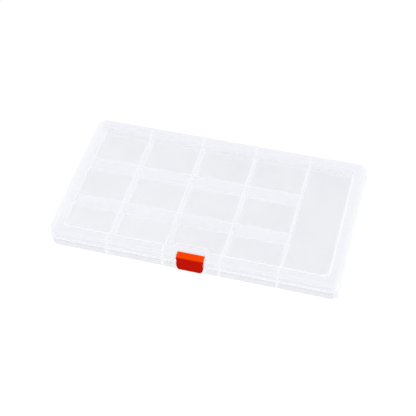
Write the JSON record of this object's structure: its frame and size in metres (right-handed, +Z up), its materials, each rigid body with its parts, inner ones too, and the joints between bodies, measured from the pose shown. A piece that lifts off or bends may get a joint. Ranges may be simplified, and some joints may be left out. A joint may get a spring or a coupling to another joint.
{
  "type": "compartment storage box",
  "caption": "Flat clear compartment box with a hinged lid, loose cross dividers and a coloured snap latch at the front.",
  "frame": {"origin": "middle of the underside that the box rests on, centred on the tray and lid", "axes": "+X to the right along the front edge, +Y from the latch back to the hinge, +Z up"},
  "size_m": [0.205, 0.1201, 0.016],
  "materials": {
    "tray_plastic": "milky clear",
    "divider_plastic": "milky clear",
    "lid_plastic": "milky clear",
    "latch_plastic": "glossy orange-red"
  },
  "bodies": {
    "tray": {"base_tray": "tray_plastic", "divider_1_front": "divider_plastic", "divider_1_rear": "divider_plastic", "divider_2_front": "divider_plastic", "divider_2_rear": "divider_plastic", "divider_3_front": "divider_plastic", "divider_3_rear": "divider_plastic", "divider_4_front": "divider_plastic", "divider_4_rear": "divider_plastic"},
    "lid_body": {"lid": "lid_plastic"},
    "latch_body": {"latch": "latch_plastic"}
  },
  "joints": [
    {"name": "lid_hinge", "type": "hinge", "parent": "tray", "child": "lid_body", "pos_m": [0, 0.0592, 0.008], "axis": [-1, 0, 0], "range_deg": [0, 180]},
    {"name": "latch_pivot", "type": "hinge", "parent": "lid_body", "child": "latch_body", "pos_m": [0, -0.054, 0.0126], "axis": [-1, 0, 0], "range_deg": [0, 95]}
  ]
}
